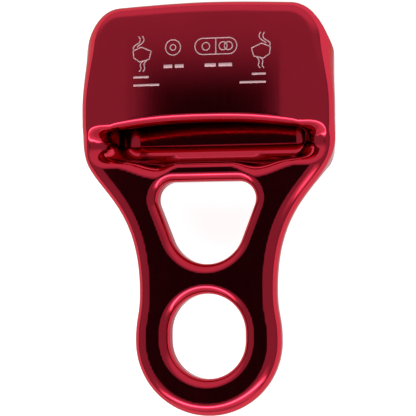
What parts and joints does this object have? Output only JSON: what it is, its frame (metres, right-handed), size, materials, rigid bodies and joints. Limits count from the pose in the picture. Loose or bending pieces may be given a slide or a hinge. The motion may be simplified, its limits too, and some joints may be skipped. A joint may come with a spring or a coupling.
{
  "type": "rope descender",
  "caption": "Forged rope descender: a wide rope tube with a mouth under its front lip, on a flat shank with a window and a karabiner eye.",
  "frame": {"origin": "middle of the footprint, on the surface that the back of the tube lies on", "axes": "+Y along the body from the karabiner eye to the tube's rim, +Z out of the front face, +X across"},
  "size_m": [0.067, 0.1074, 0.0251],
  "materials": {
    "red_anodised": "polished, then anodised and dyed red"
  },
  "bodies": {
    "root": {"descender_body": "red_anodised"}
  },
  "joints": []
}
